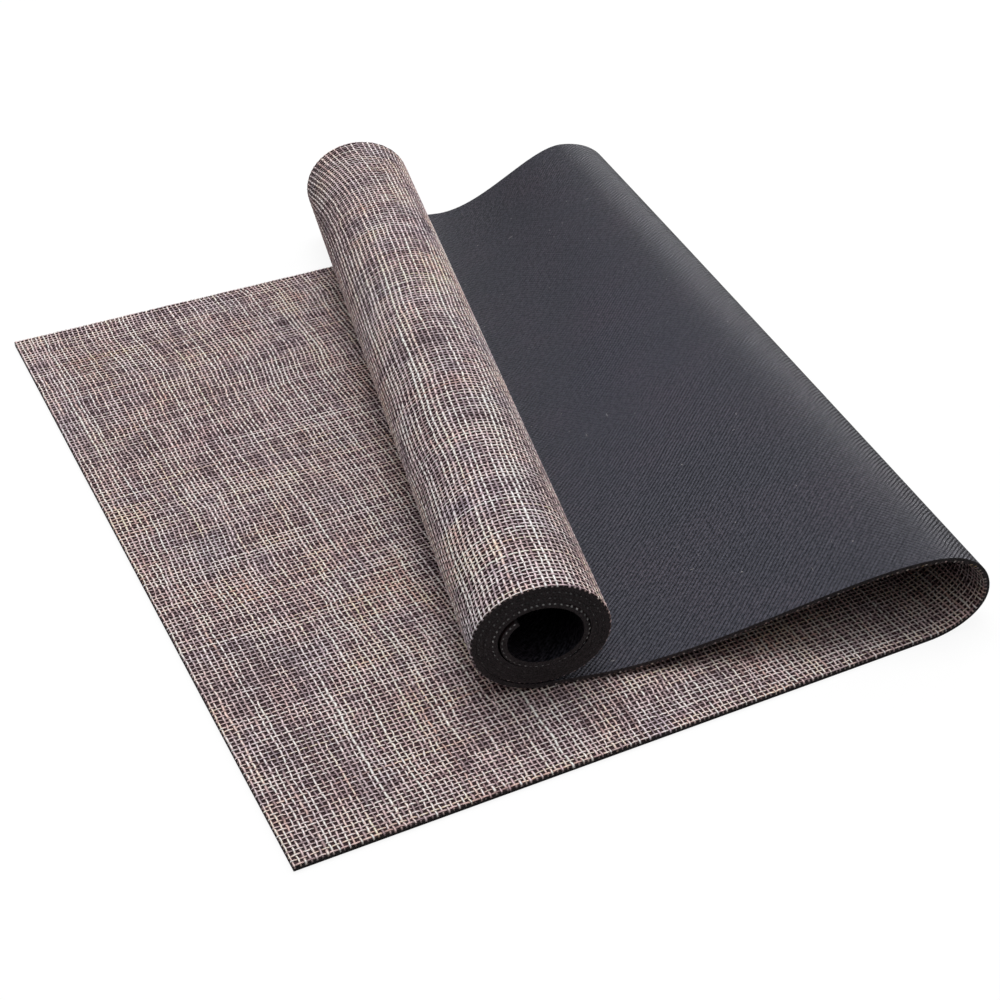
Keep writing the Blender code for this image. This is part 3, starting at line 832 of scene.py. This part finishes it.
def yarn_piece(name, tracks, along_width):
    """All yarns of one direction in one stretch of the sheet, each a closed four-sided thread."""
    rings, tints, quads, uvs = [], [], [], []
    thick = CROSS_HALF_HEIGHT if along_width else LONG_HALF_HEIGHT
    # Painted shade on a yarn's flanks and belly, and a painted highlight along its crest
    painted_round_shade = np.array((FLANK, CREST, FLANK, BELLY))[None, :, None]
    corners = np.arange(4)[None]
    next_side = np.roll(STRIP, -1)
    first = 0
    count = len(tracks)
    for number, track in enumerate(tracks):
        s, w, d, half = track[:, LENGTH], track[:, WIDTH], track[:, DEPTH], track[:, HALF]
        aside_s, aside_w = (half, 0.0) if along_width else (0.0, half)
        sides = (
            (s - aside_s, w - aside_w, d),
            (s, w, d + thick),
            (s + aside_s, w + aside_w, d),
            (s, w, d - thick),
        )
        rings.append(np.stack([np.stack(side, 1) for side in sides], 1))
        tints.append(np.minimum(track[:, None, TINT] * painted_round_shade, LIGHTEST_CREST))
        n = len(track)
        a = first + np.arange(n - 1)[:, None] * 4 + corners
        b = first + np.arange(n - 1)[:, None] * 4 + (corners + 1) % 4
        skin = np.stack([a, b, b + 4, a + 4], -1).reshape(-1, 4)
        caps = np.array([[0, 3, 2, 1], [4 * n - 4, 4 * n - 3, 4 * n - 2, 4 * n - 1]]) + first
        run = np.linspace(0, 1, n)
        low, high = (np.repeat(end[:, None], 4, 1) for end in (run[:-1], run[1:]))
        va, vb = (np.repeat(side[None], n - 1, 0) for side in (STRIP, next_side))
        v = (np.stack([va, vb, vb, va], -1) + number) / count
        skin_uv = np.stack([np.stack([low, low, high, high], -1), v], -1).reshape(-1, 2)
        cap_uv = np.array([[end, (across + number) / count] for end in (0, 1) for across in STRIP])
        quads += [skin, caps]
        uvs += [skin_uv, cap_uv]
        first += 4 * n
    ring = np.concatenate(rings)
    points = place(ring[..., 0], ring[..., 1], ring[..., 2]).reshape(-1, 3)
    quads, uvs = np.concatenate(quads), np.concatenate(uvs)
    if not along_width:
        quads = quads[:, ::-1]
        uvs = uvs.reshape(-1, 4, 2)[:, ::-1].reshape(-1, 2)
    return mesh_object(name, points, quads, YARN, uvs, "OFBake", np.concatenate(tints).reshape(-1, 3))


# Beyond the outer wrap only the yarns near the two side edges can be seen, so only those go on
FULL_END = float(np.interp(FULL_WEAVE_TURNS, SPIRAL, WOUND)) + ROLL_START
FULL_ROWS = int(FULL_END / CROSS_PITCH)
FRONT_EDGE, BACK_EDGE = (0, EDGE_YARNS), (LONG_COUNT - EDGE_YARNS, LONG_COUNT)
tracks = {(zone, way): [] for zone in ZONES for way in ("cross", "long")}
crosses_over = np.indices(SHAPE).sum(0) % 2 == 0


def cross_track(i, a, b, turn):
    """One yarn across the mat, or its stretch at one side edge inside the roll."""
    pick = np.s_[i, a:b]
    lengths, widths = cross_lengths[pick], cross_widths[pick]
    reach = OVERHANG if turn < LONGER_ENDS_TURNS else INNER_OVERHANG
    overhang = rng.uniform(*reach, 2)
    first = -overhang[0] if a == 0 else widths[0] - HIDDEN_END
    last = MAT_WIDTH + overhang[1] if b == LONG_COUNT else widths[-1] + HIDDEN_END
    tints = cross_tints[pick]
    track = yarn_track(lengths, widths, crosses_over[pick], cross_half[pick], tints, True, first, last)
    if turn < 0:
        track[[0, -1], DEPTH] -= FLOOR_DROOP
    if turn > SHADED_TURNS:
        # Painted shade on the cross yarns inside the roll
        track[:, TINT] *= HIDDEN_SHADE
        dot = rng.uniform(*CAP_DOT) + rises(turn, *INNERMOST) * rng.uniform(*INNER_CAP_DOT)
        track[:2, TINT] = track[-2:, TINT] = dot
    else:
        track[[0, -1], TINT] *= rng.uniform(*END_SHADE)
    if 0 < cross_lengths[i, 0] - FOLD_START(0) < LOOSE_STRETCH and rng.random() < LOOSE_SHARE:
        astray = (rng.normal() * LOOSE_DRIFT, -rng.uniform(*LOOSE_REACH), -LOOSE_DROP, -LOOSE_DROP)
        track[0, :4] += astray
        track[0, TINT] = linear(*LOOSE_COLOUR)[:3]
    return track


for i in range(CROSS_COUNT):
    spans = ((0, LONG_COUNT),) if i < FULL_ROWS else (FRONT_EDGE, BACK_EDGE)
    turn = float(turn_at(i * CROSS_PITCH)) if i * CROSS_PITCH > ROLL_START else -1.0
    for a, b in spans:
        for zone, part in cut_at_lines(cross_track(i, a, b, turn)):
            tracks[zone, "cross"].append(part)
for j in range(LONG_COUNT):
    goes_on = j < EDGE_YARNS or j >= LONG_COUNT - EDGE_YARNS
    rows = slice(CROSS_COUNT if goes_on else FULL_ROWS)
    lengths, over = cross_lengths[rows, j], ~crosses_over[rows, j]
    first = -rng.uniform(*OVERHANG)
    end = MAT_LENGTH if goes_on else lengths[-1] + HIDDEN_END
    half, tints = long_half[j, rows], long_tints[j, rows]
    track = yarn_track(lengths, cross_widths[rows, j], over, half, tints, False, first, end)
    for zone, part in cut_at_lines(track):
        if zone == "roll":
            # Painted shade on the lengthwise yarns inside the roll
            part[part[:, LENGTH] > FULL_END, TINT] *= HIDDEN_LONG_SHADE
        tracks[zone, "long"].append(part)
yarns = {zone: [] for zone in ZONES}
for (zone, way), found in tracks.items():
    yarns[zone].append(yarn_piece(f"yarns_{way}_{zone}", found, way == "cross"))


# What each piece rides on, the mean length of each stretch, and the CAD parts that the pieces replace,
# which are hidden

pieces = {zone: [foams[zone], coats[zone], *yarns[zone]] for zone in ZONES}
for piece in pieces["floor"]:
    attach(piece, "floor_part")
for piece in pieces["fold"]:
    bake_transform(piece)
for piece in pieces["roll"]:
    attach(piece, "rolled_part")
CAD_ZONE = {"floor": "floor_panel", "fold": "fold", "roll": "roll"}
widths = np.linspace(0, MAT_WIDTH, WIDTH_POINTS)
MEAN_LENGTH = {
    "floor": float(FOLD_START(widths).mean()),
    "fold": float((FOLD_END(widths) - FOLD_START(widths)).mean()),
    "roll": float(MAT_LENGTH - FOLD_END(widths).mean()),
}
for zone in ZONES:
    node = CAD_ZONE[zone]
    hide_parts(f"base_{node}")
    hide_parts(f"bond_{node}")
    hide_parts(f"face_{node}")


# Floor, light and camera


def stage_material():
    """A pale floor that looks evenly lit, and throws little light back up at the object."""
    material = bpy.data.materials.new("stage_floor")
    material.use_nodes = True
    tree = material.node_tree
    tree.nodes.clear()
    out = tree.nodes.new("ShaderNodeOutputMaterial")
    path = tree.nodes.new("ShaderNodeLightPath")
    pick, seen = tree.nodes.new("ShaderNodeMixShader"), tree.nodes.new("ShaderNodeMixShader")
    dim, pale = tree.nodes.new("ShaderNodeBsdfDiffuse"), tree.nodes.new("ShaderNodeBsdfDiffuse")
    glow = tree.nodes.new("ShaderNodeEmission")
    dim.inputs["Color"].default_value = (FLOOR_BOUNCE, FLOOR_BOUNCE, FLOOR_BOUNCE, 1.0)
    pale.inputs["Color"].default_value = WHITE
    glow.inputs["Color"].default_value = WHITE
    glow.inputs["Strength"].default_value = 1.0
    seen.inputs[0].default_value = FLOOR_GLOW
    tree.links.new(pale.outputs[0], seen.inputs[1])
    tree.links.new(glow.outputs[0], seen.inputs[2])
    tree.links.new(path.outputs["Is Camera Ray"], pick.inputs[0])
    tree.links.new(dim.outputs[0], pick.inputs[1])
    tree.links.new(seen.outputs[0], pick.inputs[2])
    tree.links.new(pick.outputs[0], out.inputs["Surface"])
    return material


def sky_light():
    """A soft sky, white overhead and dimmer towards the floor; the camera sees it plain white."""
    world = bpy.data.worlds.new("studio")
    bpy.context.scene.world = world
    world.use_nodes = True
    tree = world.node_tree
    sky = tree.nodes["Background"]
    at = tree.nodes.new("ShaderNodeTexCoord")
    towards = tree.nodes.new("ShaderNodeVectorMath")
    rise = tree.nodes.new("ShaderNodeMapRange")
    path = tree.nodes.new("ShaderNodeLightPath")
    pick = tree.nodes.new("ShaderNodeMix")
    towards.operation = "DOT_PRODUCT"
    towards.inputs[1].default_value = SKY_WAY
    for name, value in zip(SPAN_SOCKETS, SKY_SPAN + SKY_LIGHT):
        rise.inputs[name].default_value = value
    pick.inputs[3].default_value = 1.0
    sky.inputs["Color"].default_value = WHITE
    tree.links.new(at.outputs["Generated"], towards.inputs[0])
    tree.links.new(towards.outputs["Value"], rise.inputs["Value"])
    tree.links.new(path.outputs["Is Camera Ray"], pick.inputs[0])
    tree.links.new(rise.outputs[0], pick.inputs[2])
    tree.links.new(pick.outputs[0], sky.inputs["Strength"])


def soft_box(name, place_at, size, power):
    """A round lamp that looks at the middle of the mat."""
    data = bpy.data.lights.new(name, "AREA")
    data.shape = "DISK"
    data.size = size
    data.energy = power
    obj = bpy.data.objects.new(name, data)
    obj.location = place_at
    obj.rotation_euler = (-Vector(place_at)).to_track_quat("-Z", "Y").to_euler()
    bpy.context.scene.collection.objects.link(obj)


bpy.ops.mesh.primitive_plane_add(size=FLOOR_SIZE, location=(0, 0, -FLOOR_GAP))
floor = bpy.context.object
floor.name = "studio_floor"
floor.data.materials.append(stage_material())
sky_light()
for lamp in LAMPS:
    soft_box(*lamp)

camera_data = bpy.data.cameras.new("photo_camera")
camera_data.lens = CAMERA_LENS
camera_data.sensor_width = CAMERA_SENSOR
camera_data.clip_start, camera_data.clip_end = CAMERA_CLIPS
camera = bpy.data.objects.new("photo_camera", camera_data)
camera.location = CAMERA_PLACE
camera.rotation_euler = (math.pi / 2 - CAMERA_DOWN, 0.0, CAMERA_TURN)
bpy.context.scene.collection.objects.link(camera)
bpy.context.scene.camera = camera
bpy.context.scene.view_settings.view_transform = "Standard"

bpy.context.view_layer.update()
